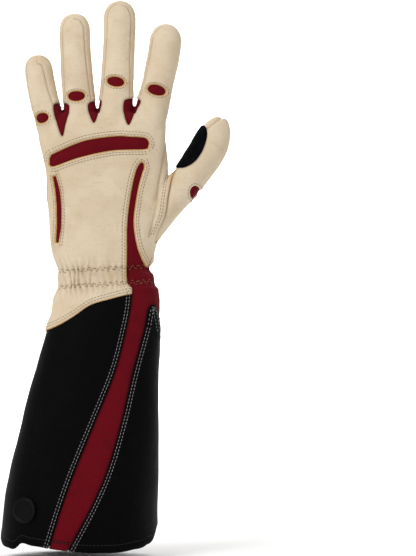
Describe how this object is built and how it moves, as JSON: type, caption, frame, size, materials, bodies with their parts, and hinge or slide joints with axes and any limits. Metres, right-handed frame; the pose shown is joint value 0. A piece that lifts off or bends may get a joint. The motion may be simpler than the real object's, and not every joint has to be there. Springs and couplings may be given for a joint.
{
  "type": "rose pruning gauntlet",
  "caption": "Left-hand rose pruning gauntlet: cream leather hand with red stretch inserts over the knuckles and joints, a gathered wrist and a long flared black cuff with red stripes.",
  "frame": {"origin": "centre of the gathered wrist, on the middle line through the hollow", "axes": "+Z from the wrist to the fingertips, -Y towards what the back of the hand faces, +Y out of the palm, +X towards the thumb"},
  "size_m": [0.1642, 0.0884, 0.3987],
  "materials": {
    "cream_leather": "soft matt grain leather",
    "red_stretch": "dark red stretch cloth",
    "black_suede": "matt black grip suede",
    "black_leather": "soft black leather with a faint sheen",
    "badge_rubber": "smooth glossy black patch"
  },
  "bodies": {
    "root": {"back_panel": "cream_leather", "palm_panel": "cream_leather", "thumb_leather": "cream_leather", "little_inner_strip": "cream_leather", "ring_outer_strip": "cream_leather", "ring_inner_strip": "cream_leather", "middle_outer_strip": "cream_leather", "middle_inner_strip": "cream_leather", "index_outer_strip": "cream_leather", "knuckle_band": "red_stretch", "little_side_slot": "red_stretch", "little_window": "red_stretch", "ring_window": "red_stretch", "middle_window": "red_stretch", "index_window": "red_stretch", "thumb_window": "red_stretch", "web_gusset_little": "red_stretch", "web_gusset_middle": "red_stretch", "web_gusset_index": "red_stretch", "radial_insert": "red_stretch", "cuff_stripes": "red_stretch", "palm_pad": "black_suede", "thumb_pad": "black_suede", "cuff_back_panel": "black_leather", "cuff_palm_panel": "black_leather", "cuff_wedge": "black_leather", "badge": "badge_rubber"}
  },
  "joints": []
}
